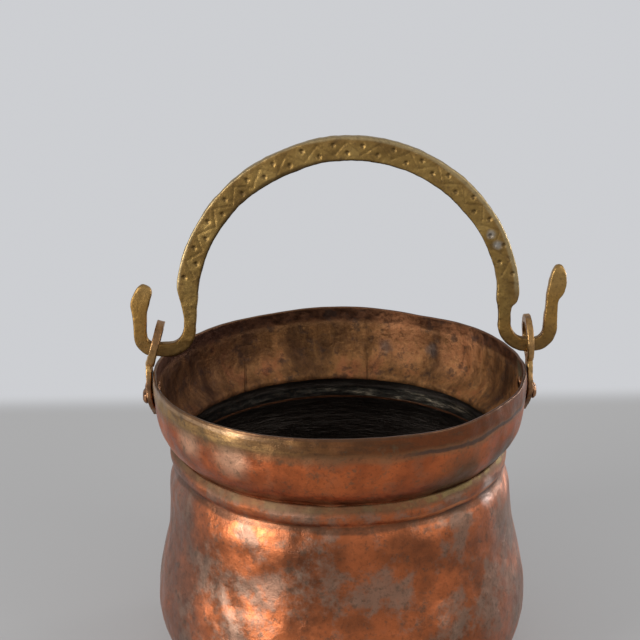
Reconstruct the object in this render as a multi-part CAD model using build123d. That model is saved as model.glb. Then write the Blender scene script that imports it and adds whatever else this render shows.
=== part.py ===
from build123d import *
import math
import os

# A small hand-beaten copper pan with a hooked brass bail, in millimetres. Z points up from the underside
# of the flat bottom, Z is also the pan's axis, and both ears lie on X. The bail stands upright in the
# XZ plane at rest and swings about the line through both eyes.

# The pan's sheet and its outer line. Every drop is measured down from the rim, and every step, flare and
# swell in or out from the radius before it.
wall = 1.2
pot_height = 132.0
rim_radius = 78.4
lip_flare = 0.6
lip_band = 7.0
knee_step = 1.4
knee_drop = 18.5
neck_step = 8.2
crease_drop = 30.5
bead_swell = 2.2
bead_height = 10.0
shoulder_step = 4.0
shoulder_drop = 53.0
belly_step = 7.9
belly_drop = 105.0
base_step = 26.3
crease_round = 0.8
lip_round = 0.45
hollow_share = 0.55

# The collar's foot stands inside the top of the bead, with a film of braze between them.
foot_depth = 1.8
braze_gap = 0.05

# The ears: a plate with a round eye over a narrow waist and a pointed leaf that lies on the collar.
ear_thick = 2.2
ear_stand_off = 0.1
eye_radius = 6.4
eye_rim = 3.5
waist_half = 3.8
leaf_half = 9.0
leaf_length = 20.7
leaf_drop = 9.6
leaf_sag = 1.6
left_lean_angle = 15.6
right_lean_angle = 3.6
lean_round = 12.0

# The rivets: two side by side through each leaf and the collar behind it.
shank_radius = 1.6
head_radius = 2.9
head_height = 1.5
tail_height = 0.8
head_bed = 0.9
rivet_spread = 9.2
rivet_drop = 10.2
rivet_play = 0.1

# The bail: a flat bar bent to a half circle, drawn out to a narrower bar at each hook.
bail_thick = 4.2
arch_rise = 27.4
crown_width = 10.2
leg_width = 8.8
bar_width = 5.6
bar_round = 1.2
heel_drop = 1.8

# The hooks hang in the eyes: on the pan's side of each ear the leg, on the outside an arm that ends in a
# serpent's head. Each reach is from the middle of the ear's plate to the middle of the bar.
pivot_rise = 8.8
left_leg_reach = 15.4
left_arm_reach = 5.4
left_arm_bend = 6.0
left_arm_rise = 25.2
left_arm_splay = -3.4
right_leg_reach = 10.5
right_arm_reach = 8.65
right_arm_bend = 7.0
right_arm_rise = 31.9
right_arm_splay = 3.5
leg_bend = 9.4
head_length = 11.4
head_bulge = 2.4
jaw_round = 1.6
brow_angle = 27.0
jaw_share = 0.76

# The bar turns in the eyes with this much room below it. Every cut runs this far past its piece, and
# faces that lie this close are one when the hooks join the arch.
turn_play = 0.3
overrun = 12.0
weld_tolerance = 0.0001

collar_radius = rim_radius + lip_flare
knee_radius = collar_radius - knee_step
neck_radius = knee_radius - neck_step
bead_radius = neck_radius + bead_swell
shoulder_radius = neck_radius + shoulder_step
belly_radius = shoulder_radius + belly_step
base_radius = belly_radius - base_step
rim_z = pot_height
crease_z = rim_z - crease_drop
pivot_z = rim_z + pivot_rise
half_bar = bar_width / 2
half_bail = bail_thick / 2
half_ear = ear_thick / 2
bar_reach = math.hypot(half_bar - bar_round, half_bail - bar_round) + bar_round
eye_z = pivot_z - bar_reach - turn_play + eye_radius
eye_outer = eye_radius + eye_rim
plate_radius = collar_radius + ear_stand_off + half_ear


def plate_at_pivot(lean):
    """How far out the middle of an ear's plate is, level with the pivot."""
    return plate_radius - pivot_rise * math.tan(math.radians(lean))


right_leg = plate_at_pivot(right_lean_angle) - right_leg_reach
left_leg = plate_at_pivot(left_lean_angle) - left_leg_reach
half_span = (right_leg + left_leg) / 2
bail_shift = (right_leg - left_leg) / 2


def sheet(outline):
    """A closed section of sheet metal: the outer line and its copy one wall further in."""
    return make_face(outline.offset_2d(wall, side=Side.RIGHT))


def turned(section):
    """A section in radius and height, turned about the pan's axis."""
    return revolve(Plane.XZ * section, Axis.Z)


def rounded(outline, corner, radius):
    """An open outline with one corner rounded."""
    return outline.fillet_2d(radius, [outline.vertices().sort_by_distance(corner)[0]])


def flank(offset):
    """The collar's straight flank, from the lip band to the knee, moved out by the offset."""
    return Line((collar_radius + offset, rim_z - lip_band), (knee_radius + offset, rim_z - knee_drop))


def collar_sheet():
    """The flared collar: a lip band, the flank, a curl in to the upper crease and an upright foot."""
    side = flank(0)
    crease = (neck_radius, crease_z)
    band = Line((rim_radius, rim_z), side @ 0)
    curl = TangentArc(side @ 1, crease, tangent=side % 1)
    foot = Line(crease, (neck_radius, crease_z - foot_depth))
    section = sheet(rounded(Wire([band, side, curl, foot]), crease, crease_round))
    lip = section.vertices().sort_by(Axis.Y)[-2:]
    return turned(fillet(lip, lip_round))


def rivet_spots():
    """Both rivets of the right ear, front one first, on the collar's outer face."""
    drop_share = (rivet_drop - lip_band) / (knee_drop - lip_band)
    out = (flank(0) @ drop_share).X
    return [Pos(out, spread, rim_z - rivet_drop) for spread in (-rivet_spread / 2, rivet_spread / 2)]


def rivet_hole():
    """A rivet's hole along X, through the collar and the ear on it."""
    return Rot(0, 90, 0) * Cylinder(shank_radius + rivet_play, overrun)


def collar():
    """The collar with the rivet holes through it."""
    piece = collar_sheet()
    for spot in rivet_spots():
        hole = spot * rivet_hole()
        piece -= hole + mirror(hole, Plane.YZ)
    return piece


def body():
    """Belly, bottom and neck in one sheet, with the bead that takes the collar's foot."""
    crease = (neck_radius, crease_z - bead_height)
    bead_middle = (bead_radius, crease_z - bead_height / 2)
    shoulder_end = Vector(shoulder_radius, rim_z - shoulder_drop)
    widest = Vector(belly_radius, rim_z - belly_drop)
    hollow_end = shoulder_end + (widest - shoulder_end) * hollow_share
    bead = ThreePointArc((neck_radius, crease_z - crease_round), bead_middle, crease)
    shoulder = TangentArc(shoulder_end, crease, tangent=(0, 1)).reversed()
    hollow = TangentArc(shoulder_end, hollow_end, tangent=(0, -1))
    swell = TangentArc(hollow_end, widest, tangent=hollow % 1)
    corner = TangentArc(widest, (base_radius, 0), tangent=(0, -1))
    bottom = Line((base_radius, 0), (0, 0))
    outline = Wire([bead, shoulder, hollow, swell, corner, bottom])
    mouth = Pos(0, 0, crease_z) * Cylinder(neck_radius + braze_gap, overrun)
    return turned(sheet(rounded(outline, crease, crease_round))) - mouth


def ear_front():
    """The ear seen square on, in Y and Z: eye, waist and pointed leaf."""
    top = (0, eye_z - eye_radius)
    shoulder = (leaf_half, rim_z - leaf_drop)
    tip = (0, rim_z - leaf_length)
    upper = TangentArc(shoulder, top, tangent=(0, 1))
    lower = SagittaArc(shoulder, tip, -leaf_sag)
    half = make_face([upper, lower, Line(tip, top)])
    waist = Pos(0, eye_z - eye_outer) * Rectangle(waist_half * 2, eye_rim * 2)
    eye = Pos(0, eye_z) * Circle(eye_outer)
    hole = Pos(0, eye_z) * Circle(eye_radius)
    return half + mirror(half, Plane.YZ) + waist + eye - hole


def ear_side(lean):
    """The ear's plate on edge, in X and Z: it follows the flank below and leans in above the rim."""
    low = flank(ear_stand_off + half_ear)
    half_turn = lean_round * math.tan(math.radians(lean) / 2)
    bend = JernArc((plate_radius, rim_z - half_turn), (0, 1), lean_round, lean)
    tip = low @ 1 + (low % 1) * overrun
    upright = Line(low @ 0, bend @ 0)
    eye = Line(bend @ 1, bend @ 1 + (bend % 1) * (eye_z + eye_outer + overrun - rim_z))
    return make_face(Wire([Line(tip, low @ 0), upright, bend, eye]).offset_2d(half_ear, kind=Kind.ARC))


def ear(lean):
    """The right ear with its rivet holes, leaning in by so many degrees."""
    front = extrude(Plane.YZ * ear_front(), plate_radius + overrun)
    piece = extrude(Plane.XZ * ear_side(lean), eye_outer + overrun, both=True) & front
    for spot in rivet_spots():
        piece -= spot * rivet_hole()
    return piece


def cap(height):
    """A domed head over a flat bed on the XY plane."""
    arc = TangentArc((0, height), (head_radius, 0), tangent=(1, 0))
    edge = Line((head_radius, 0), (head_radius, -head_bed))
    rest = Polyline((head_radius, -head_bed), (0, -head_bed), (0, height))
    return turned(make_face([arc, edge, *rest.edges()]))


def rivet(spot, plate, flared):
    """One rivet of the right ear: a domed head on the plate and a flatter one inside the collar."""
    inside = -wall - head_bed
    outside = ear_stand_off + ear_thick
    on_end = (Align.CENTER, Align.CENTER, Align.MIN)
    head = Pos(outside, 0, 0) * Rot(0, 90, 0) * cap(head_height)
    tail = Pos(inside, 0, 0) * Rot(0, -90, 0) * cap(tail_height)
    rod = Cylinder(shank_radius, outside - inside, align=on_end)
    shank = Pos(inside, 0, 0) * Rot(0, 90, 0) * rod
    return spot * (head + tail + shank) - plate - flared


def softened(outline):
    """An outline in X and Z made as thick as the bail, with its edges rounded."""
    blank = extrude(Plane.XZ * outline, half_bail, both=True)
    return fillet(blank.faces().filter_by(Axis.Y).edges(), bar_round)


def arch():
    """The bail's half circle with its two heels, about the arch's centre."""
    inner = half_span - half_bar
    outer = inner + leg_width
    heel = -heel_drop
    right_heel = Polyline((outer, 0), (outer, heel), (inner, heel), (inner, 0))
    left_heel = Polyline((-inner, 0), (-inner, heel), (-outer, heel), (-outer, 0))
    outer_arc = CenterArc((0, 0), outer, 0, 180)
    inner_arc = EllipticalCenterArc((0, 0), inner, outer - crown_width, arc_size=180)
    return softened(make_face([outer_arc, *left_heel.edges(), inner_arc, *right_heel.edges()]))


def serpent_head(place):
    """A serpent's head from its rounded tip down to the jaw, with its brow on the right."""
    turn = math.radians(brow_angle)
    start = Vector(math.cos(turn), math.sin(turn)) * half_bar
    jaw = (half_bar + head_bulge, -head_length * jaw_share)
    tip = ThreePointArc((-half_bar, 0), (0, half_bar), start)
    crown = TangentArc(start, jaw, tangent=(math.sin(turn), -math.cos(turn)))
    back = Polyline(jaw, (0, -head_length - half_bar), (-half_bar, -head_length), (-half_bar, 0))
    profile = make_face([tip, crown, *back.edges()])
    return softened(place * fillet(profile.vertices().sort_by_distance(jaw)[0], jaw_round))


def hook(reach, arm_bend, arm_rise, arm_splay):
    """The right hook about the arch's centre: leg, two bends and arm in one sweep, and the head."""
    pivot = pivot_rise - arch_rise
    arm_middle = half_span + reach
    leg_foot = (half_span, pivot + leg_bend)
    low_start = (half_span + leg_bend, pivot)
    low_end = (arm_middle - arm_bend, pivot)
    arm_foot = (arm_middle, pivot + arm_bend)
    leg = Line((half_span, 0), leg_foot)
    inner_bend = TangentArc(leg_foot, low_start, tangent=(0, -1))
    outer_bend = TangentArc(low_end, arm_foot, tangent=(1, 0))
    arm = TangentArc(arm_foot, (arm_middle + arm_splay, pivot + arm_rise), tangent=(0, 1))
    line = Plane.XZ * Wire([leg, inner_bend, Line(low_start, low_end), outer_bend, arm])
    section = Pos(half_span, 0, 0) * RectangleRounded(bar_width, bail_thick, bar_round)
    lean = -math.degrees(math.atan2((arm % 1).X, (arm % 1).Y))
    return sweep(section, line) + serpent_head(Pos(*(arm @ 1)) * Rot(0, 0, lean))


def bail_handle():
    """The whole bail, forged from one bar: the arch with its heels and a hook at either end."""
    left = hook(left_leg_reach + left_arm_reach, left_arm_bend, left_arm_rise, left_arm_splay)
    right = hook(right_leg_reach + right_arm_reach, right_arm_bend, right_arm_rise, right_arm_splay)
    forged = arch().fuse(right, mirror(left, Plane.YZ), tol=weld_tolerance)
    return Pos(bail_shift, 0, rim_z + arch_rise) * forged


flared = collar()
plates = {"right": ear(right_lean_angle), "left": ear(left_lean_angle)}
pieces = {"body": body(), "collar": flared, "bail_handle": bail_handle()}
for side, plate in plates.items():
    pieces[f"{side}_ear"] = plate
    for place, spot in zip(("front", "back"), rivet_spots()):
        pieces[f"{side}_{place}_rivet"] = rivet(spot, plate, flared)

os.makedirs("parts", exist_ok=True)
for name, piece in pieces.items():
    if name.startswith("left"):
        piece = mirror(piece, Plane.YZ)
    piece.label = name
    export_step(piece, f"parts/{name}.step")
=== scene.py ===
import math
import random

import bpy
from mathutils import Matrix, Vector
from mathutils.kdtree import KDTree


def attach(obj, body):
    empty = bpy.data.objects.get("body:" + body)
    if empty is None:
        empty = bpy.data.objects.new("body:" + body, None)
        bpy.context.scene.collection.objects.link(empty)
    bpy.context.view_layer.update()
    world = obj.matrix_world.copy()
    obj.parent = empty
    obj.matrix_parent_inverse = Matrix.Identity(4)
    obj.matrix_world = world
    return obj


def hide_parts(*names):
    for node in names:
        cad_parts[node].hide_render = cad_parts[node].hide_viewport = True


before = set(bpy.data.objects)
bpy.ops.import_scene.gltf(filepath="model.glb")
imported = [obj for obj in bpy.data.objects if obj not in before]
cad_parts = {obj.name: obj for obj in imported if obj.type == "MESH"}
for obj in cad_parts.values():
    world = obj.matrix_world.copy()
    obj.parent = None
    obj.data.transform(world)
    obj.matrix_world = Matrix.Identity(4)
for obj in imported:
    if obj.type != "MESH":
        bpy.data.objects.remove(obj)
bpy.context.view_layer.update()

# The body: belly, flat bottom and neck bead, raised from one sheet of copper with a hammer over stakes.
# It is tinned inside, and the bead below the mouth takes the collar's foot.
mm = 0.001
wall = 1.2 * mm
body_line = [
    (69.7, 100.9), (70.5, 99.6), (71.2, 98.0), (71.6, 96.2), (71.3, 94.2), (70.6, 92.7), (69.75, 91.6),
    (69.9, 90.5), (71.2, 88.0), (72.2, 85.0), (72.9, 82.0), (73.1, 79.0), (73.3, 72.0), (74.0, 65.0),
    (75.2, 58.0), (77.2, 50.4), (78.9, 44.0), (80.1, 35.0), (80.5, 27.0), (79.6, 20.0), (77.0, 13.5),
    (73.0, 7.9), (67.6, 3.6), (61.2, 0.95), (54.0, 0.1), (40.0, 0.1), (22.0, 0.1), (8.0, 0.1),
]
body_pushes = [(180, 70.6, 92.7, 1.2, 0, 34), (0, 70.6, 92.7, -0.7, 0, 34), (-80, 71.2, 88, -0.5, 0, 26)]
foot_radius = 57 * mm
foot_curl = 5 * mm
foot_slack = 0.3 * mm
floor_gap = 0.1 * mm
touching = 0.00001
grit_width = 0.0016
grit_depth = 0.00012


def activate(piece):
    """Only this piece is selected and active."""
    if bpy.context.mode != "OBJECT":
        bpy.ops.object.mode_set(mode="OBJECT")
    bpy.ops.object.select_all(action="DESELECT")
    piece.select_set(True)
    bpy.context.view_layer.objects.active = piece


def draw_down(name, sides, line):
    """A sheet drawn ring by ring from its mouth: each pair is a ring's radius and height in millimetres."""
    bpy.ops.object.select_all(action="DESELECT")
    radius, height = line[0]
    bpy.ops.mesh.primitive_circle_add(vertices=sides, radius=radius * mm, location=(0, 0, height * mm))
    piece = bpy.context.object
    piece.name = name
    bpy.ops.object.transform_apply(location=True, rotation=True, scale=True)
    bpy.ops.object.mode_set(mode="EDIT")
    bpy.ops.mesh.select_all(action="SELECT")
    for next_radius, next_height in line[1:]:
        drop = (0, 0, (next_height - height) * mm)
        bpy.ops.mesh.extrude_edges_move(TRANSFORM_OT_translate={"value": drop})
        share = next_radius / radius
        bpy.ops.transform.resize(value=(share, share, 1), center_override=(0, 0, next_height * mm))
        radius, height = next_radius, next_height
    return piece


def face_out():
    """In edit mode: doubles merged, then every face turned outwards."""
    bpy.ops.mesh.select_all(action="SELECT")
    bpy.ops.mesh.remove_doubles(threshold=touching)
    bpy.ops.mesh.normals_make_consistent(inside=False)


def apply_with(piece, kind, **values):
    """Adds a modifier with these values and applies it."""
    activate(piece)
    modifier = piece.modifiers.new(kind.lower(), kind)
    for key, value in values.items():
        setattr(modifier, key, value)
    bpy.ops.object.modifier_apply(modifier=modifier.name)


def pushed(spots):
    """In edit mode: the sheet pressed at spots of angle, radius, height, way out, way up and reach."""
    for angle, radius, height, outward, upward, reach in spots:
        turn = math.radians(angle)
        piece = bpy.context.object
        bpy.ops.mesh.select_all(action="DESELECT")
        bpy.ops.object.mode_set(mode="OBJECT")
        aim = Vector((radius * math.cos(turn), radius * math.sin(turn), height)) * mm
        min(piece.data.vertices, key=lambda v: (v.co - aim).length).select = True
        bpy.ops.object.mode_set(mode="EDIT")
        shift = Vector((outward * math.cos(turn), outward * math.sin(turn), upward)) * mm
        bpy.ops.transform.translate(
            value=shift, use_proportional_edit=True,
            proportional_edit_falloff="SMOOTH", proportional_size=reach * mm,
        )


def hammered(piece, name, kind, grain, depth):
    """Dents and swellings of a procedural texture, this grain across and this deep."""
    blows = bpy.data.textures.new(name, kind)
    blows.noise_scale = grain
    apply_with(piece, "DISPLACE", texture=blows, texture_coords="LOCAL", strength=depth, mid_level=0.5)


def add_node(tree, kind, sockets=None, **settings):
    """A shader node: sockets are numbers, colours or other nodes' outputs, by name or by number."""
    made = tree.nodes.new("ShaderNode" + kind)
    for key, value in settings.items():
        setattr(made, key, value)
    for key, value in (sockets or {}).items():
        if isinstance(value, bpy.types.NodeSocket):
            tree.links.new(value, made.inputs[key])
        else:
            made.inputs[key].default_value = value
    return made


def math_of(tree, operation, *values):
    """One step of arithmetic on numbers and outputs."""
    return add_node(tree, "Math", dict(enumerate(values)), operation=operation).outputs[0]


def plus(tree, one, other):
    """The sum of two numbers or outputs."""
    return math_of(tree, "ADD", one, other)


def times(tree, one, other):
    """The product of two numbers or outputs."""
    return math_of(tree, "MULTIPLY", one, other)


def either(tree, one, other):
    """The greater of two shares."""
    return math_of(tree, "MAXIMUM", one, other)


def noise_of(tree, place, grain, detail, rough):
    """Soft noise with spots this far apart, in metres."""
    sockets = {"Vector": place, "Scale": 1 / grain, "Detail": detail, "Roughness": rough}
    return add_node(tree, "TexNoise", sockets).outputs["Fac"]


def span(tree, value, low, high, to_low=0.0, to_high=1.0):
    """The value's way from low to high, eased at both ends."""
    sockets = {"Value": value, "From Min": low, "From Max": high, "To Min": to_low, "To Max": to_high}
    return add_node(tree, "MapRange", sockets, interpolation_type="SMOOTHSTEP").outputs[0]


def laid_over(tree, share, below, above):
    """Colour above laid over colour below by this share."""
    return add_node(tree, "Mix", {0: share, 6: below, 7: above}, data_type="RGBA").outputs[2]


def toned(tree, value, *stops):
    """Colours along a value: each stop is a position and a colour."""
    made = add_node(tree, "ValToRGB", {"Fac": value})
    ends = made.color_ramp.elements
    for number, (position, colour) in enumerate(stops):
        stop = ends[number] if number < 2 else ends.new(position)
        stop.position = position
        stop.color = (*colour, 1)
    return made.outputs["Color"]


def patch(tree, place, spot, reach, ragged=0.6):
    """A ragged stain round a spot in millimetres, from 1 at its middle to 0 at its reach."""
    aim = tuple(v * mm for v in spot)
    away = add_node(tree, "VectorMath", {0: place, 1: aim}, operation="DISTANCE").outputs["Value"]
    torn = noise_of(tree, place, reach * mm * 0.7, 5.0, 0.65)
    edge = times(tree, torn, ragged * reach * mm)
    whole = reach * mm * (0.2 + ragged * 0.5)
    return span(tree, plus(tree, away, edge), whole, whole + reach * mm * 0.7, 1.0, 0.0)


def stripe(tree, value, low, high, soft):
    """1 between low and high, with soft edges this wide."""
    rise = span(tree, value, low - soft, low)
    return times(tree, rise, span(tree, value, high, high + soft, 1.0, 0.0))


def stained(tree, share, strength, below, colour):
    """A stain of one colour at this strength over what is below."""
    return laid_over(tree, times(tree, share, strength), below, (*colour, 1))


def uneven_height(tree, parts, cloud, swing):
    """Height above the floor, swinging this far up with the cloud, so that lines wander as by hand."""
    return plus(tree, parts.outputs["Z"], times(tree, cloud, swing))


def roughened(tree, noise, least, most):
    """Roughness between two values, following a noise."""
    return span(tree, noise, 0.35, 0.7, least, most)


def start_finish(name, metallic=1.0):
    """An empty finish: its tree, its shader and the object's own coordinates."""
    finish = bpy.data.materials.new(name)
    finish.use_nodes = True
    tree = finish.node_tree
    shader = tree.nodes["Principled BSDF"]
    shader.inputs["Metallic"].default_value = metallic
    place = add_node(tree, "TexCoord").outputs["Object"]
    return finish, tree, shader, place


def close_finish(tree, shader, colour, roughness, height, depth):
    """Colour, roughness and relief go into the shader; depth is the relief's height in metres."""
    place = add_node(tree, "TexCoord").outputs["Object"]
    grains = noise_of(tree, place, grit_width, 4.0, 0.7)
    colour = stained(tree, span(tree, grains, 0.50, 0.68), 0.35, colour, (0.07, 0.045, 0.03))
    tree.links.new(colour, shader.inputs["Base Color"])
    tree.links.new(roughness, shader.inputs["Roughness"])
    wear_and_painted_sheen = add_node(tree, "Bump", {"Strength": 1.0, "Distance": grit_depth, "Height": grains})
    sockets = {"Strength": 1.0, "Distance": depth, "Height": height, "Normal": wear_and_painted_sheen.outputs["Normal"]}
    relief = add_node(tree, "Bump", sockets)
    tree.links.new(relief.outputs["Normal"], shader.inputs["Normal"])


def blows_of(tree, place, grain):
    """Shallow round hammer marks, one beside the other."""
    sockets = {"Vector": place, "Scale": 1 / grain, "Smoothness": 0.6}
    return add_node(tree, "TexVoronoi", sockets, feature="SMOOTH_F1").outputs["Distance"]


def beaten(tree, place, grain, fine, share):
    """Hammer marks this far apart, with this share of fine noise on top."""
    return plus(tree, blows_of(tree, place, grain), times(tree, fine, share))


def belly_finish():
    """Red copper with mauve and grey-green patina, brassy at the braze above the bead."""
    finish, tree, shader, place = start_finish("belly_copper")
    parts = add_node(tree, "SeparateXYZ", {0: place})
    across = parts.outputs["X"]
    cloud = noise_of(tree, place, 0.026, 5.0, 0.6)
    fine = noise_of(tree, place, 0.006, 6.0, 0.7)
    wavy = uneven_height(tree, parts, cloud, 0.006)
    colour = toned(
        tree, cloud,
        (0.30, (0.15, 0.055, 0.028)), (0.46, (0.34, 0.105, 0.042)),
        (0.58, (0.52, 0.15, 0.055)), (0.75, (0.34, 0.13, 0.07)),
    )
    film = plus(tree, noise_of(tree, place, 0.02, 6.0, 0.65), times(tree, fine, 0.4))
    veil = span(tree, film, 0.66, 0.82)
    colour = stained(tree, veil, 0.7, colour, (0.27, 0.19, 0.14))
    mauve = span(tree, math_of(tree, "ABSOLUTE", across), 0.050, 0.068)
    colour = stained(tree, mauve, 0.35, colour, (0.30, 0.19, 0.15))
    # Painted highlight: a pale pinkish-white spot on the shoulder at the right, where a lamp from behind would
    # shine.
    painted_shoulder_highlight = patch(tree, place, (60, -40, 92), 9)
    colour = stained(tree, painted_shoulder_highlight, 0.6, colour, (0.85, 0.74, 0.68))
    specks = span(tree, noise_of(tree, place, 0.0045, 5.0, 0.7), 0.54, 0.68)
    colour = stained(tree, specks, 0.6, colour, (0.12, 0.085, 0.06))
    # Painted highlight: a bright orange line along the bead's rounded middle, on the right side only.
    right = span(tree, across, -0.01, 0.05)
    painted_bead_highlight = times(tree, stripe(tree, wavy, 0.0954, 0.0966, 0.0008), right)
    colour = stained(tree, painted_bead_highlight, 0.7, colour, (0.70, 0.24, 0.08))
    # Painted shade: a dark band in the crease under the bead.
    crease = stripe(tree, wavy, 0.0926, 0.0944, 0.0012)
    colour = stained(tree, crease, 0.7, colour, (0.12, 0.06, 0.035))
    # Painted shade: the bead's top is darkened in the crevice where it meets the collar's foot.
    painted_crevice_shade = span(tree, wavy, 0.0990, 0.1020)
    colour = stained(tree, painted_crevice_shade, 0.8, colour, (0.13, 0.078, 0.042))
    braze = times(tree, stripe(tree, wavy, 0.1022, 0.1040, 0.0010), span(tree, fine, 0.44, 0.56))
    braze = times(tree, braze, span(tree, across, 0.01, 0.06, 0.2, 1.0))
    colour = stained(tree, braze, 0.7, colour, (0.27, 0.20, 0.075))
    roughness = roughened(tree, fine, 0.30, 0.50)
    roughness = either(tree, roughness, span(tree, wavy, 0.0985, 0.1005, 0.0, 0.62))
    close_finish(tree, shader, colour, roughness, beaten(tree, place, 0.008, fine, 0.3), 0.0006)
    return finish


def tin_finish():
    """Old tin gone dark; on the ledge, silvery and golden streaks, partly wear on the tin and partly painted
    highlight, lighter towards the right where the lamp's light falls.
    """
    finish, tree, shader, place = start_finish("dark_tin")
    parts = add_node(tree, "SeparateXYZ", {0: place})
    drawn = add_node(tree, "VectorMath", {0: place, 1: (1, 1, 6)}, operation="MULTIPLY").outputs[0]
    streaks = noise_of(tree, drawn, 0.012, 5.0, 0.7)
    # Painted light: the streaks grow lighter towards the right side, where the lamp's light falls inside the
    # pan.
    streaks_and_painted_light = plus(tree, streaks, span(tree, parts.outputs["X"], -0.04, 0.03, -0.08, 0.04))
    wear_and_painted_highlight = toned(
        tree, streaks_and_painted_light,
        (0.42, (0.012, 0.011, 0.010)), (0.58, (0.05, 0.045, 0.036)), (0.72, (0.32, 0.26, 0.18)),
    )
    # On the ledge the streaks are partly wear on the tin and partly painted highlight.
    ledge = stripe(tree, parts.outputs["Z"], 0.0918, 0.0950, 0.0014)
    colour = laid_over(tree, ledge, (0.115, 0.097, 0.083, 1), wear_and_painted_highlight)
    bare_line = stripe(tree, parts.outputs["Z"], 0.0905, 0.0909, 0.0006)
    colour = stained(tree, bare_line, 0.8, colour, (0.26, 0.10, 0.04))
    roughness = span(tree, streaks, 0.35, 0.7, 0.58, 0.32)
    close_finish(tree, shader, colour, roughness, streaks, 0.0008)
    return finish


body = draw_down("body_copper", 128, body_line)
bpy.ops.mesh.merge(type="CENTER")
face_out()
pushed(body_pushes)
bpy.ops.object.mode_set(mode="OBJECT")
body.data.materials.append(belly_finish())
body.data.materials.append(tin_finish())
apply_with(body, "SUBSURF", levels=1, render_levels=1)
hammered(body, "belly_swells", "CLOUDS", 0.035, 0.0016)
hammered(body, "belly_blows", "VORONOI", 0.010, 0.0005)
for vertex in body.data.vertices:
    in_foot = math.hypot(vertex.co.x, vertex.co.y) < foot_radius and vertex.co.z < foot_curl
    vertex.select = in_foot or vertex.co.z < foot_slack
bpy.ops.object.mode_set(mode="EDIT")
bpy.ops.mesh.select_mode(type="VERT")
bpy.ops.transform.resize(value=(1, 1, 0), center_override=(0, 0, floor_gap))
bpy.ops.object.mode_set(mode="OBJECT")
apply_with(body, "SOLIDIFY", thickness=wall, offset=-1, material_offset=1, use_quality_normals=True)
bpy.ops.object.shade_smooth()
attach(body, "pan")
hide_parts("body")

# The collar: a second sheet of copper, flared and turned to a plain lip, left bare inside.
# Its foot is brazed into the bead's mouth, where its ragged edge stands over the dark undercut.
collar_line = [
    (78.3, 131.95), (78.55, 130.0), (78.75, 127.5), (78.85, 125.2), (78.6, 124.2), (78.5, 121.5),
    (78.2, 118.0), (77.7, 114.5), (76.9, 111.0), (75.6, 108.0), (73.8, 105.3), (71.6, 103.2),
    (69.9, 101.9), (69.3, 100.9), (69.3, 99.6),
]
collar_pushes = [
    (90, 78.3, 132, 1.4, 0.3, 45), (62, 78.3, 132, -0.3, -0.5, 22), (118, 78.3, 132, 0.4, -0.3, 24),
    (-90, 78.3, 132, -0.8, 0.2, 42), (-55, 78.3, 132, 0.6, -0.2, 25), (-125, 78.3, 132, 0.5, 0.4, 25),
    (180, 69.9, 101.9, 1.0, 0, 16), (0, 69.9, 101.9, -0.5, 0, 16), (-62, 78.5, 121.5, -0.5, 0, 12),
    (-100, 77.7, 114.5, -0.4, 0, 10), (60, 77.7, 114.5, 0.5, 0, 14), (35, 78.5, 121.5, -0.5, 0, 12),
]


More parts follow.
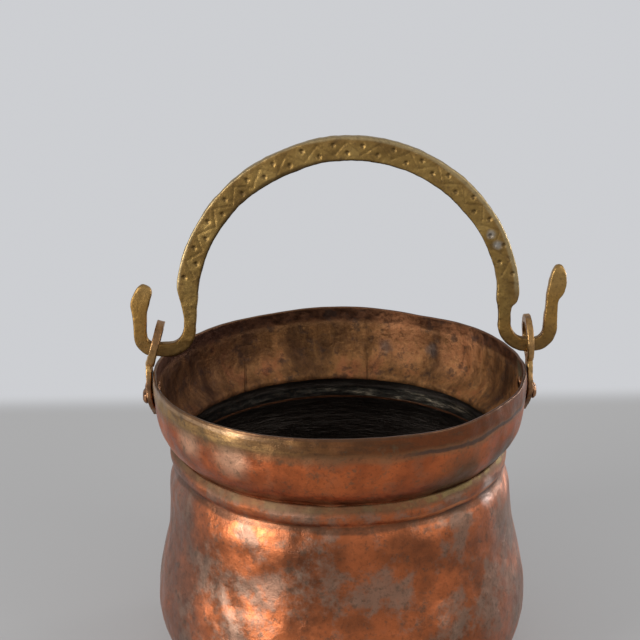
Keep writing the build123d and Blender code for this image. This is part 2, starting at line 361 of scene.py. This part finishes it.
def collar_outside():
    """Olive-brown lip band over a red-orange flank; dark above the crease on the right, partly stain and
    partly painted shade, and painted highlights on the left.
    """
    finish, tree, shader, place = start_finish("collar_copper")
    parts = add_node(tree, "SeparateXYZ", {0: place})
    across, height = parts.outputs["X"], parts.outputs["Z"]
    cloud = noise_of(tree, place, 0.024, 5.0, 0.6)
    fine = noise_of(tree, place, 0.006, 6.0, 0.7)
    wavy = uneven_height(tree, parts, cloud, 0.007)
    colour = toned(
        tree, cloud,
        (0.30, (0.26, 0.08, 0.036)), (0.45, (0.43, 0.115, 0.042)),
        (0.58, (0.58, 0.155, 0.052)), (0.75, (0.42, 0.14, 0.06)),
    )
    veil = span(tree, noise_of(tree, place, 0.013, 6.0, 0.65), 0.52, 0.66)
    colour = stained(tree, veil, 0.3, colour, (0.30, 0.17, 0.10))
    # The lip band runs from brassy olive on the left to red-brown on the right: partly its own tone, partly
    # painted light, lighter on the left where the lamp shines.
    sides = span(tree, across, -0.07, 0.06)
    # Painted highlight: a pale pink sheen on the left of the flank.
    painted_left_highlight = either(tree, patch(tree, place, (-60, -50, 120), 11), patch(tree, place, (-43, -66, 119), 13))
    colour = stained(tree, painted_left_highlight, 0.7, colour, (0.84, 0.49, 0.31))
    lip = toned(
        tree, sides,
        (0.10, (0.36, 0.22, 0.085)), (0.45, (0.175, 0.085, 0.036)), (0.85, (0.165, 0.056, 0.024)),
    )
    drawn = add_node(tree, "VectorMath", {0: place, 1: (1, 1, 5)}, operation="MULTIPLY").outputs[0]
    lines = span(tree, noise_of(tree, drawn, 0.016, 5.0, 0.7), 0.46, 0.62)
    lip = stained(tree, lines, 0.6, lip, (0.085, 0.05, 0.028))
    colour = laid_over(tree, times(tree, span(tree, wavy, 0.1262, 0.1298), 0.92), colour, lip)
    lip_foot = stripe(tree, wavy, 0.1262, 0.1278, 0.0022)
    colour = stained(tree, lip_foot, 0.38, colour, (0.20, 0.16, 0.085))
    groove = times(tree, stripe(tree, wavy, 0.1268, 0.1276, 0.0009), span(tree, across, 0.014, 0.034))
    colour = stained(tree, groove, 0.75, colour, (0.065, 0.055, 0.05))
    # Painted highlight: a pale band just under the rim's top on the left.
    wear_and_painted_sheen = times(tree, stripe(tree, height, 0.1298, 0.1308, 0.0006), span(tree, across, -0.02, -0.05))
    colour = stained(tree, wear_and_painted_sheen, 0.5, colour, (0.50, 0.32, 0.20))
    lip_edge = span(tree, height, 0.1308, 0.1314)
    colour = stained(tree, lip_edge, 0.8, colour, (0.15, 0.075, 0.042))
    # Dark patches on the right above the crease: partly stain, partly painted shade on the collar's
    # inward-turned foot.
    stain_and_painted_shade = either(tree, patch(tree, place, (44, -58, 105), 22), patch(tree, place, (63, -38, 105), 19))
    colour = stained(tree, stain_and_painted_shade, 0.85, colour, (0.095, 0.062, 0.032))
    # Painted shade: the flank darkens towards its foot, where it turns in and faces down.
    low = span(tree, wavy, 0.1065, 0.1105, 1.0, 0.0)
    colour = stained(tree, low, 0.55, colour, (0.15, 0.075, 0.04))
    specks = span(tree, noise_of(tree, place, 0.005, 5.0, 0.7), 0.54, 0.68)
    colour = stained(tree, specks, 0.6, colour, (0.16, 0.11, 0.065))
    braze = times(tree, span(tree, wavy, 0.1036, 0.1048, 1.0, 0.0), span(tree, fine, 0.44, 0.56))
    braze = times(tree, braze, span(tree, across, 0.01, 0.06, 0.2, 1.0))
    colour = stained(tree, braze, 0.7, colour, (0.27, 0.20, 0.075))
    roughness = roughened(tree, fine, 0.30, 0.50)
    relief = beaten(tree, place, 0.009, fine, 0.3)
    relief = math_of(tree, "SUBTRACT", relief, times(tree, groove, 0.12))
    close_finish(tree, shader, colour, roughness, relief, 0.0006)
    return finish


def collar_inside():
    """Dark red-brown below the lip, then tan with mottled stains; pink painted highlights at the back on the
    right, painted shade on the left and a painted highlight along the rim.
    """
    finish, tree, shader, place = start_finish("collar_inside")
    parts = add_node(tree, "SeparateXYZ", {0: place})
    across, height = parts.outputs["X"], parts.outputs["Z"]
    upright = add_node(tree, "VectorMath", {0: place, 1: (1, 1, 0.35)}, operation="MULTIPLY").outputs[0]
    cloud = noise_of(tree, upright, 0.016, 6.0, 0.65)
    fine = noise_of(tree, place, 0.004, 6.0, 0.7)
    wavy = uneven_height(tree, parts, cloud, 0.006)
    colour = toned(
        tree, cloud,
        (0.28, (0.06, 0.03, 0.017)), (0.42, (0.18, 0.088, 0.037)),
        (0.56, (0.40, 0.19, 0.072)), (0.72, (0.44, 0.16, 0.07)),
    )
    top = toned(tree, fine, (0.35, (0.085, 0.038, 0.022)), (0.65, (0.18, 0.08, 0.042)))
    mottled = span(tree, noise_of(tree, place, 0.011, 5.0, 0.75), 0.44, 0.62)
    colour = stained(tree, mottled, 0.42, colour, (0.11, 0.05, 0.028))
    colour = laid_over(tree, span(tree, wavy, 0.1255, 0.1305), colour, top)
    bright_line = stripe(tree, wavy, 0.1266, 0.1274, 0.0010)
    colour = stained(tree, bright_line, 0.2, colour, (0.42, 0.22, 0.10))
    # Painted highlight: pink patches at the back on the right, where the lamp's light falls on the inner wall.
    wear_and_painted_sheen = either(tree, patch(tree, place, (31, 70, 123), 24), patch(tree, place, (56, 52, 121), 22))
    wear_and_painted_sheen = times(tree, wear_and_painted_sheen, span(tree, fine, 0.36, 0.56, 0.35, 1.0))
    colour = stained(tree, wear_and_painted_sheen, 0.7, colour, (0.54, 0.235, 0.105))
    slate = either(
        tree, patch(tree, place, (23, 73, 114), 5, 1.0), patch(tree, place, (43.5, 63, 116), 5, 1.0)
    )
    colour = stained(tree, slate, 0.55, colour, (0.15, 0.13, 0.12))
    right_seam = stripe(tree, across, 0.0140, 0.0143, 0.0005)
    seam = either(tree, right_seam, stripe(tree, across, -0.0431, -0.0428, 0.0005))
    seam = times(tree, seam, span(tree, wavy, 0.110, 0.117, 1.0, 0.0))
    seam = times(tree, seam, span(tree, parts.outputs["Y"], 0.02, 0.04))
    colour = stained(tree, seam, 0.4, colour, (0.05, 0.03, 0.02))
    green = patch(tree, place, (76, 6, 127), 7)
    colour = stained(tree, green, 0.7, colour, (0.20, 0.20, 0.13))
    specks = span(tree, noise_of(tree, place, 0.006, 5.0, 0.7), 0.52, 0.66)
    colour = stained(tree, specks, 0.65, colour, (0.06, 0.042, 0.036))
    # Painted shade: the inner wall darkens towards the left side, which faces away from the lamp.
    painted_shade_left = span(tree, across, -0.062, -0.015, 1.0, 0.0)
    colour = stained(tree, painted_shade_left, 0.52, colour, (0.065, 0.03, 0.024))
    # Painted highlight: the inner rim's top edge is lightened where light catches it.
    lip_edge = span(tree, height, 0.1309, 0.1314)
    colour = stained(tree, lip_edge, 0.7, colour, (0.20, 0.095, 0.05))
    roughness = roughened(tree, fine, 0.46, 0.68)
    relief = beaten(tree, upright, 0.0075, fine, 0.7)
    relief = math_of(tree, "SUBTRACT", relief, times(tree, seam, 0.3))
    close_finish(tree, shader, colour, roughness, relief, 0.0010)
    return finish


collar = draw_down("collar_copper", 128, collar_line)
face_out()
pushed(collar_pushes)
bpy.ops.object.mode_set(mode="OBJECT")
collar.data.materials.append(collar_outside())
collar.data.materials.append(collar_inside())
apply_with(collar, "SUBSURF", levels=2, render_levels=2)
hammered(collar, "collar_swells", "CLOUDS", 0.025, 0.0010)
hammered(collar, "collar_blows", "VORONOI", 0.009, 0.0004)
apply_with(collar, "SOLIDIFY", thickness=wall, offset=-1, material_offset=1, use_quality_normals=True)
apply_with(collar, "BEVEL", width=0.0003, segments=2, limit_method="ANGLE", angle_limit=math.radians(50))
bpy.ops.object.shade_smooth()
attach(collar, "pan")
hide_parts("collar")

# The ears: two plates of hammered copper, each with a round eye over a waist and a pointed leaf.
# Each leaf lies on the collar under two rivets, and the eyes lean in over the rim to carry the bail.
ear_plate = 80.2
ear_half = 1.1
eye_height = 143.86
eye_outer = 9.9
eye_inner = 6.5
lean_height = 132


def ear_finish():
    """Brown copper, browner in the hollows; the eyes are gold, partly wear from the bail and partly painted
    highlight.
    """
    finish, tree, shader, place = start_finish("ear_copper")
    cloud = noise_of(tree, place, 0.008, 5.0, 0.6)
    fine = noise_of(tree, place, 0.0025, 5.0, 0.7)
    colour = toned(
        tree, cloud,
        (0.32, (0.13, 0.065, 0.034)), (0.5, (0.32, 0.16, 0.07)), (0.7, (0.46, 0.25, 0.11)),
    )
    hollows = span(tree, fine, 0.55, 0.68)
    colour = stained(tree, hollows, 0.55, colour, (0.10, 0.065, 0.04))
    leaf = span(tree, add_node(tree, "SeparateXYZ", {0: place}).outputs["Z"], 0.128, 0.134, 1.0, 0.0)
    colour = stained(tree, leaf, 0.5, colour, (0.14, 0.075, 0.045))
    # Gold on the eyes: partly wear from the bail, partly a painted highlight on the lit near limb.
    wear_and_painted_highlight = patch(tree, place, (80, 0, eye_height - 4), 20)
    wear_and_painted_highlight = either(tree, wear_and_painted_highlight, patch(tree, place, (-77, 0, eye_height - 4), 17))
    colour = stained(tree, wear_and_painted_highlight, 0.8, colour, (0.74, 0.46, 0.165))
    roughness = roughened(tree, fine, 0.30, 0.48)
    close_finish(tree, shader, colour, roughness, beaten(tree, place, 0.0035, fine, 0.4), 0.0004)
    return finish


def leaf_strip(name, rows):
    """A plate drawn down from the waist: each row is its place out, its height and half its width."""
    out, height, half = rows[0]
    bpy.ops.object.select_all(action="DESELECT")
    bpy.ops.mesh.primitive_plane_add(size=2, location=(out * mm, 0, height * mm))
    piece = bpy.context.object
    piece.name = name
    bpy.ops.object.mode_set(mode="EDIT")
    bpy.ops.mesh.select_all(action="SELECT")
    middle = (out * mm, 0, height * mm)
    bpy.ops.transform.resize(value=(ear_half * mm, half * mm, 1), center_override=middle)
    for next_out, next_height, next_half in rows[1:]:
        step = ((next_out - out) * mm, 0, (next_height - height) * mm)
        bpy.ops.mesh.extrude_region_move(TRANSFORM_OT_translate={"value": step})
        middle = (next_out * mm, 0, next_height * mm)
        bpy.ops.transform.resize(value=(1, next_half / half, 1), center_override=middle)
        out, height, half = next_out, next_height, next_half
    bpy.ops.object.mode_set(mode="OBJECT")
    bpy.ops.object.transform_apply(location=True, rotation=True, scale=True)
    return piece


def eye_ring(name, lean, fuller):
    """The eye: a flat ring, its edges bridged and its near limb fuller, leaning in over the rim."""
    bpy.ops.object.select_all(action="DESELECT")
    turn = (0, math.radians(90), 0)
    middle = (ear_plate * mm, 0, eye_height * mm)
    bpy.ops.mesh.primitive_circle_add(vertices=40, radius=eye_outer * mm, location=middle, rotation=turn)
    piece = bpy.context.object
    piece.name = name
    bpy.ops.object.mode_set(mode="EDIT")
    bpy.ops.mesh.primitive_circle_add(vertices=40, radius=eye_inner * mm, location=middle, rotation=turn)
    bpy.ops.mesh.select_all(action="SELECT")
    bpy.ops.mesh.bridge_edge_loops()
    bpy.ops.mesh.select_all(action="SELECT")
    bpy.ops.mesh.extrude_region_move(TRANSFORM_OT_translate={"value": (2 * ear_half * mm, 0, 0)})
    bpy.ops.mesh.select_all(action="SELECT")
    bpy.ops.transform.translate(value=(-ear_half * mm, 0, 0))
    # The ring's own X points down, so this is the upper part of the limb on the near side.
    bpy.ops.object.mode_set(mode="OBJECT")
    for vertex in piece.data.vertices:
        vertex.select = vertex.co.y < -4 * mm and vertex.co.x < -3 * mm
    bpy.ops.object.mode_set(mode="EDIT")
    bpy.ops.mesh.select_mode(type="VERT")
    bpy.ops.transform.resize(
        value=(fuller, 1, 1), center_override=middle, use_proportional_edit=True,
        proportional_edit_falloff="SMOOTH", proportional_size=4 * mm,
    )
    face_out()
    bpy.ops.mesh.select_all(action="SELECT")
    foot = (ear_plate * mm, 0, lean_height * mm)
    bpy.ops.transform.rotate(value=math.radians(lean), orient_axis="Y", center_override=foot)
    bpy.ops.object.mode_set(mode="OBJECT")
    bpy.ops.object.transform_apply(location=True, rotation=True, scale=True)
    return piece


leaf_rows = [
    (80.2, 136.5, 3.9), (80.2, 133.5, 4.0), (80.25, 130.0, 4.6), (80.25, 127.0, 6.0), (80.1, 124.5, 8.0),
    (79.9, 122.2, 8.9), (79.5, 119.0, 7.6), (79.1, 116.5, 5.8), (78.7, 114.0, 3.4), (78.4, 112.2, 1.5),
    (78.35, 111.6, 0.8),
]
ear_copper = ear_finish()
for side, lean, fuller, tag in ((1, 3.6, 1.2, "right"), (-1, 15.6, 1.5, "left")):
    plate = leaf_strip(f"{tag}_ear_plate", leaf_rows)
    ring = eye_ring(f"{tag}_eye", lean, fuller)
    activate(plate)
    ring.select_set(True)
    bpy.ops.object.join()
    apply_with(plate, "REMESH", mode="VOXEL", voxel_size=0.00032, use_smooth_shade=True)
    apply_with(plate, "SMOOTH", factor=0.5, iterations=3)
    hammered(plate, f"{tag}_ear_blows", "CLOUDS", 0.004, 0.0003)
    if side < 0:
        activate(plate)
        bpy.ops.object.mode_set(mode="EDIT")
        bpy.ops.mesh.select_all(action="SELECT")
        bpy.ops.transform.mirror(constraint_axis=(True, False, False), center_override=(0, 0, 0))
        bpy.ops.mesh.normals_make_consistent(inside=False)
        bpy.ops.object.mode_set(mode="OBJECT")
    plate.data.materials.append(ear_copper)
    bpy.ops.object.shade_smooth()
    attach(plate, "pan")
    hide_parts(f"{tag}_ear")

# The rivets: four copper nails through ears and collar, each with a head hammered to a low dome.
# The head inside the collar is flatter.
rivet_line = [
    (0.6, 2.2), (2.0, 2.0), (3.0, 1.4), (3.6, 0.65), (3.55, 0.0), (1.6, -0.1), (1.6, -3.4), (2.7, -3.5),
    (2.8, -3.9), (2.1, -4.5), (0.6, -4.75),
]
rivet_out = 80.9
rivet_aside = 4.6
rivet_height = 121.8


def rivet_finish():
    """Hammered copper, brown in the hollows."""
    finish, tree, shader, place = start_finish("rivet_copper")
    fine = noise_of(tree, place, 0.0025, 5.0, 0.7)
    colour = toned(
        tree, fine,
        (0.35, (0.12, 0.06, 0.035)), (0.52, (0.34, 0.17, 0.085)), (0.68, (0.46, 0.25, 0.12)),
    )
    roughness = roughened(tree, fine, 0.28, 0.48)
    close_finish(tree, shader, colour, roughness, blows_of(tree, place, 0.0022), 0.0005)
    return finish


def rivet_blank():
    """One rivet drawn ring by ring along its axis, closed at both heads."""
    piece = draw_down("rivet", 20, rivet_line)
    bpy.ops.mesh.merge(type="CENTER")
    bpy.ops.object.mode_set(mode="OBJECT")
    top = max(v.co.z for v in piece.data.vertices)
    for vertex in piece.data.vertices:
        vertex.select = vertex.co.z > top - touching
    bpy.ops.object.mode_set(mode="EDIT")
    bpy.ops.mesh.merge(type="CENTER")
    face_out()
    bpy.ops.object.mode_set(mode="OBJECT")
    apply_with(piece, "SUBSURF", levels=2, render_levels=2)
    return piece


rivet_copper = rivet_finish()
blank = rivet_blank()
blank.data.materials.append(rivet_copper)
for side, tag in ((1, "right"), (-1, "left")):
    for aside, end in ((-rivet_aside, "front"), (rivet_aside, "back")):
        activate(blank)
        bpy.ops.object.duplicate()
        nail = bpy.context.object
        nail.name = f"{tag}_{end}_rivet_copper"
        nail.rotation_euler = (0, side * math.radians(90), 0)
        nail.location = (side * rivet_out * mm, aside * mm, rivet_height * mm)
        bpy.ops.object.transform_apply(location=True, rotation=True, scale=True)
        hammered(nail, f"{tag}_{end}_head_blows", "CLOUDS", 0.002, 0.0003)
        bpy.ops.object.shade_smooth()
        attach(nail, "pan")
        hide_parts(f"{tag}_{end}_rivet")
bpy.data.objects.remove(blank)

# The bail: one forged brass bar, flat and wide over the arch, drawn out at both ends to a hook that
# passes through an ear's eye and ends in a serpent's head. Its faces are stamped with a zigzag and dots.
arch_middle = (3.4, 159.4)
arch_marks = [
    (8, 72.0, 62.9), (45, 71.8, 62.0), (90, 71.35, 61.4),
    (115, 70.5, 60.5), (150, 70.8, 61.3), (172, 71.2, 61.9),
]
bail_thick = 4.2
bar = 5.6
zigzag_step = 5.26
zigzag_out, zigzag_in = 2.6, -2.5
points_in_cut = 20
cut_depth, cut_reach = 0.2, 0.85
pit_depth, pit_reach = 0.6, 1.6
full_stamp = 0.4


def arch_at(angle):
    """The arch's outer and inner radius at an angle in degrees from its right side."""
    before = [mark for mark in arch_marks if mark[0] <= angle][-1]
    after = [mark for mark in arch_marks if mark[0] >= angle][0]
    share = (angle - before[0]) / max(after[0] - before[0], 1)
    return [start + (end - start) * share for start, end in zip(before[1:], after[1:])]


def on_arch(angle, aside=0.0):
    """X and Z of a place on the arch, this far outside its middle line."""
    turn = math.radians(angle)
    radius = sum(arch_at(angle)) / 2 + aside
    return arch_middle[0] + radius * math.cos(turn), arch_middle[1] + radius * math.sin(turn)


def arch_stations(steps):
    """Places along the arch from its right foot over the crown: X, Z, heading, width and thickness."""
    places = []
    first, last = arch_marks[0][0], arch_marks[-1][0]
    for step in range(steps + 1):
        angle = first + (last - first) * step / steps
        outer, inner = arch_at(angle)
        places.append((*on_arch(angle), 360 - angle, outer - inner, bail_thick))
    return places


def bend_stations(middle, radius, start, end, steps):
    """Places round a bend of the bar, from one heading to another, both in degrees from upright."""
    places = []
    for step in range(1, steps + 1):
        heading = start + (end - start) * step / steps
        side = 1 if end < start else -1
        turn = math.radians(heading)
        x = middle[0] + side * radius * math.cos(turn)
        z = middle[1] - side * radius * math.sin(turn)
        places.append((x, z, heading, bar, bail_thick))
    return places


def turned_by(degrees, middle):
    """In edit mode: what is selected turns about Y, clockwise as seen from the front."""
    centre = (middle[0] * mm, 0, middle[1] * mm)
    bpy.ops.transform.rotate(value=math.radians(-degrees), orient_axis="Y", center_override=centre)


def drawn_bar(name, places):
    """A bar drawn out place by place: each place has X, Z, heading, width and thickness."""
    x, z, heading, width, thick = places[0]
    bpy.ops.object.select_all(action="DESELECT")
    bpy.ops.mesh.primitive_plane_add(size=1, location=(x * mm, 0, z * mm))
    piece = bpy.context.object
    piece.name = name
    bpy.ops.object.mode_set(mode="EDIT")
    bpy.ops.mesh.select_all(action="SELECT")
    bpy.ops.transform.resize(value=(width * mm, thick * mm, 1), center_override=(x * mm, 0, z * mm))
    turned_by(heading, (x, z))
    for next_x, next_z, next_heading, next_width, next_thick in places[1:]:
        step = ((next_x - x) * mm, 0, (next_z - z) * mm)
        bpy.ops.mesh.extrude_region_move(TRANSFORM_OT_translate={"value": step})
        x, z = next_x, next_z
        turned_by(-heading, (x, z))
        share = (next_width / width, next_thick / thick, 1)
        bpy.ops.transform.resize(value=share, center_override=(x * mm, 0, z * mm))
        turned_by(next_heading, (x, z))
        heading, width, thick = next_heading, next_width, next_thick
    face_out()
    bpy.ops.object.mode_set(mode="OBJECT")
    bpy.ops.object.transform_apply(location=True, rotation=True, scale=True)
    return piece


def struck(piece, face, spots, depth, reach):
    """The points of one face nearest to these spots driven in, with the metal round them."""
    tree = KDTree(len(piece.data.vertices))
    for vertex in piece.data.vertices:
        tree.insert(vertex.co, vertex.index)
    tree.balance()
    activate(piece)
    bpy.ops.object.mode_set(mode="EDIT")
    bpy.ops.mesh.select_mode(type="VERT")
    bpy.ops.mesh.select_all(action="DESELECT")
    bpy.ops.object.mode_set(mode="OBJECT")
    for x, z in spots:
        nearest = tree.find((x * mm, face * bail_thick / 2 * mm, z * mm))[1]
        piece.data.vertices[nearest].select = True
    bpy.ops.object.mode_set(mode="EDIT")
    bpy.ops.transform.translate(
        value=(0, -face * depth * mm, 0), use_proportional_edit=True,
        proportional_edit_falloff="SMOOTH", proportional_size=reach * mm,
    )
    bpy.ops.object.mode_set(mode="OBJECT")


def brass_finish():
    """Dull olive-gold brass, browner on the outside of the arch and dark in the stamped marks, with a painted
    highlight along the arch's outer edge and painted shade along its inner edge.
    """
    finish, tree, shader, place = start_finish("bail_brass")
    parts = add_node(tree, "SeparateXYZ", {0: place})
    cloud = noise_of(tree, place, 0.011, 5.0, 0.6)
    fine = noise_of(tree, place, 0.0022, 6.0, 0.7)
    uneven = math_of(tree, "SUBTRACT", noise_of(tree, place, 0.009, 3.0, 0.5), 0.5)
    across = math_of(tree, "SUBTRACT", parts.outputs["X"], arch_middle[0] * mm)
    up = math_of(tree, "SUBTRACT", parts.outputs["Z"], arch_middle[1] * mm)
    squares = plus(tree, times(tree, across, across), times(tree, up, up))
    radius = plus(tree, math_of(tree, "SQRT", squares), times(tree, uneven, 1.6 * mm))
    colour = toned(
        tree, cloud,
        (0.30, (0.18, 0.105, 0.034)), (0.50, (0.31, 0.19, 0.058)), (0.70, (0.41, 0.265, 0.088)),
    )
    outside = span(tree, radius, 67.0 * mm, 71.0 * mm)
    colour = stained(tree, outside, 0.35, colour, (0.26, 0.135, 0.05))
    hollows = span(tree, fine, 0.55, 0.68)
    colour = stained(tree, hollows, 0.45, colour, (0.13, 0.08, 0.03))
    above = span(tree, up, 0.0, 0.01)
    # Painted highlight: a pale band along the arch's outer edge on its upper half.
    fringe = times(tree, span(tree, radius, 69.5 * mm, 70.6 * mm), above)
    colour = stained(tree, fringe, 0.55, colour, (0.50, 0.40, 0.22))
    # Painted shade: a dark line along the arch's inner edge on its upper half.
    ragged = times(tree, span(tree, radius, 61.6 * mm, 62.9 * mm, 1.0, 0.0), above)
    colour = stained(tree, ragged, 0.75, colour, (0.06, 0.038, 0.018))
    ends = either(tree, span(tree, up, -0.012, -0.004, 1.0, 0.0), span(tree, radius, 72.5 * mm, 75.0 * mm))
    colour = stained(tree, ends, 0.75, colour, (0.37, 0.205, 0.056))
    bends = span(tree, parts.outputs["Z"], 0.139, 0.153, 1.0, 0.0)
    colour = stained(tree, bends, 0.7, colour, (0.14, 0.085, 0.034))
    bloom = either(tree, patch(tree, place, (62.6, -2, 189.4), 3), patch(tree, place, (65.4, -2, 184.8), 3))
    colour = stained(tree, bloom, 0.45, colour, (0.50, 0.54, 0.56))
    marks = add_node(tree, "Attribute", attribute_name="stamp").outputs["Fac"]
    colour = stained(tree, span(tree, marks, 0.15, 0.9), 0.6, colour, (0.08, 0.05, 0.022))
    roughness = roughened(tree, fine, 0.38, 0.56)
    relief = plus(tree, fine, times(tree, blows_of(tree, place, 0.004), 0.5))
    close_finish(tree, shader, colour, roughness, relief, 0.0002)
    return finish


right_head = [
    (91.5, 175.6, 183, 1.6, 2.0), (91.4, 174.6, 184, 3.8, 3.2), (91.3, 172.8, 186, 5.4, 4.0),
    (91.2, 170.2, 188, 6.7, 4.2), (90.95, 167.4, 190, 7.3, 4.2), (90.5, 164.8, 190, 7.3, 4.2),
    (90.0, 163.0, 189, 7.0, 4.2), (88.95, 161.3, 188, 5.3, 4.2), (88.8, 158.4, 187, 5.3, 4.2),
    (88.55, 154.0, 184, 5.5, 4.2), (88.4, 150.6, 182, 5.7, 4.2), (88.3, 147.8, 180, 5.8, 4.2),
]
left_head = [
    (-83.1, 150.0, 361, 5.7, 4.2), (-83.05, 153.5, 362, 5.8, 4.2), (-82.95, 156.4, 363, 5.8, 4.2),
    (-82.95, 158.3, 364, 7.0, 4.2), (-82.9, 160.6, 365, 7.9, 4.2), (-82.1, 163.4, 368, 7.9, 4.2),
    (-81.2, 165.6, 374, 7.2, 4.1), (-80.3, 167.4, 380, 6.0, 3.7), (-79.8, 168.6, 386, 4.0, 2.8),
    (-79.6, 169.0, 388, 2.4, 2.2),
]
right_hook = bend_stations((81.30, 147.8), 7.0, 180, 270, 6) + bend_stations((78.55, 150.2), 9.4, 270, 360, 7)
right_leg = [
    (69.25, 152.8, 360, 5.2, 4.2), (69.2, 156.4, 360, 5.2, 4.2), (69.3, 158.2, 360, 5.5, 4.2),
    (69.9, 159.3, 360, 7.7, 4.2), (70.2, 160.6, 360, 8.8, 4.2), (70.4, 162.6, 360, 9.4, 4.2),
    (70.4, 166.0, 358, 9.3, 4.2),
]
left_leg = [
    (-62.45, 165.4, 181, 8.6, 4.2), (-62.2, 162.4, 180, 7.6, 4.2), (-62.1, 159.2, 180, 6.4, 4.2),
    (-62.05, 156.0, 180, 5.6, 4.2), (-62.1, 152.8, 180, 5.2, 4.2), (-62.34, 150.2, 180, 5.3, 4.2),
]
left_hook = bend_stations((-71.74, 150.2), 9.4, 180, 270, 7) + bend_stations((-77.14, 146.8), 6.0, 270, 360, 6)
places = right_head + right_hook + right_leg + arch_stations(36) + left_leg + left_hook + left_head
bail = drawn_bar("bail_brass", places)
apply_with(bail, "BEVEL", width=0.0009, segments=2, limit_method="ANGLE", angle_limit=math.radians(50))
apply_with(bail, "SUBSURF", levels=2, render_levels=2)
apply_with(bail, "REMESH", mode="VOXEL", voxel_size=0.00038, use_smooth_shade=True)
apply_with(bail, "SMOOTH", factor=0.5, iterations=2)
hammered(bail, "bail_waves", "CLOUDS", 0.011, 0.0007)
hammered(bail, "bail_blows", "CLOUDS", 0.004, 0.0004)
before_stamps = [vertex.co.y for vertex in bail.data.vertices]
hand = random.Random(5)
for face in (-1, 1):
    corners = [
        (zigzag_step * turn + hand.uniform(-0.4, 0.4), zigzag_out if turn % 2 else zigzag_in)
        for turn in range(2, 33)
    ]
    cuts = []
    for (angle, aside), (next_angle, next_aside) in zip(corners, corners[1:]):
        for point in range(points_in_cut):
            way = point / points_in_cut
            cuts.append(on_arch(angle + (next_angle - angle) * way, aside + (next_aside - aside) * way))
    pits = [on_arch(angle, -0.65 * aside + hand.uniform(-0.3, 0.3)) for angle, aside in corners]
    struck(bail, face, cuts, cut_depth, cut_reach)
    struck(bail, face, pits, pit_depth, pit_reach)
stamp = bail.data.attributes.new("stamp", "FLOAT", "POINT")
for number, flat in enumerate(before_stamps):
    driven = abs(bail.data.vertices[number].co.y - flat)
    stamp.data[number].value = min(driven / (full_stamp * mm), 1)
bail.data.materials.append(brass_finish())
bpy.ops.object.shade_smooth()
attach(bail, "bail")
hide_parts("bail_handle")

# The floor is one wide matt plane under the pan, pale grey near it.
# Beyond a soft line behind the pan it is paler still.
floor_line = 0.288
near_colour, far_colour = (0.50, 0.495, 0.49, 1), (0.60, 0.61, 0.635, 1)
near_glow, far_glow = (0.455, 0.452, 0.45, 1), (0.61, 0.62, 0.645, 1)


def floor_finish():
    """Two pale greys with a soft line between them, even and plain to the camera."""
    finish, tree, shader, place = start_finish("pale_floor", 0.0)
    back = add_node(tree, "SeparateXYZ", {0: place}).outputs["Y"]
    far = span(tree, back, floor_line - 0.02, floor_line + 0.02)
    colour = laid_over(tree, far, near_colour, far_colour)
    tree.links.new(colour, shader.inputs["Base Color"])
    shader.inputs["Roughness"].default_value = 0.6
    share = span(tree, far, 0.0, 1.0, 0.3, 1.0)
    ray = add_node(tree, "LightPath").outputs
    seen = either(tree, ray["Is Camera Ray"], ray["Is Glossy Ray"])
    glow = times(tree, share, seen)
    even = add_node(tree, "Emission", {"Color": laid_over(tree, far, near_glow, far_glow), "Strength": 1.0})
    mixed = add_node(tree, "MixShader", {0: glow, 1: shader.outputs[0], 2: even.outputs[0]})
    tree.links.new(mixed.outputs[0], tree.nodes["Material Output"].inputs["Surface"])
    return finish


bpy.ops.object.select_all(action="DESELECT")
bpy.ops.mesh.primitive_plane_add(size=12)
floor = bpy.context.object
floor.name = "floor"
floor.data.materials.append(floor_finish())

# The light: a low soft lamp at the front left, a weaker one at the front right, a small one that gleams
# on the pan from behind at the right, and an even pale grey all round.
belly_middle = Vector((0, 0, 0.1))
for name, spot, wide, tall, power in (
    ("left_lamp", (-1.15, -0.75, 0.36), 0.6, 0.7, 15.0),
    ("right_lamp", (1.2, -0.7, 0.7), 0.7, 0.7, 5.0),
    ("back_lamp", (1.2, 0.75, 0.2), 0.25, 0.25, 6.0),
):
    lamp = bpy.data.lights.new(name, "AREA")
    lamp.shape = "RECTANGLE"
    lamp.size = wide
    lamp.size_y = tall
    lamp.energy = power
    holder = bpy.data.objects.new(name, lamp)
    bpy.context.scene.collection.objects.link(holder)
    holder.location = spot
    holder.rotation_euler = (belly_middle - Vector(spot)).to_track_quat("-Z", "Y").to_euler()
room = bpy.data.worlds.new("room")
room.use_nodes = True
room.node_tree.nodes["Background"].inputs["Color"].default_value = (0.65, 0.66, 0.68, 1)
room.node_tree.nodes["Background"].inputs["Strength"].default_value = 0.8
bpy.context.scene.world = room
bpy.context.scene.view_settings.view_transform = "Standard"

# The camera stands where the photograph was taken from: 0.6 m before the pan, above its rim, and looking
# down by 19 degrees, with hardly any roll.
lens = bpy.data.cameras.new("camera")
lens.lens = 80.72
lens.sensor_width = 36
camera = bpy.data.objects.new("camera", lens)
bpy.context.scene.collection.objects.link(camera)
camera.location = (-0.00783, -0.5678, 0.3467)
camera.rotation_euler = tuple(math.radians(turn) for turn in (71.138, 0.791, -0.270))
bpy.context.scene.camera = camera
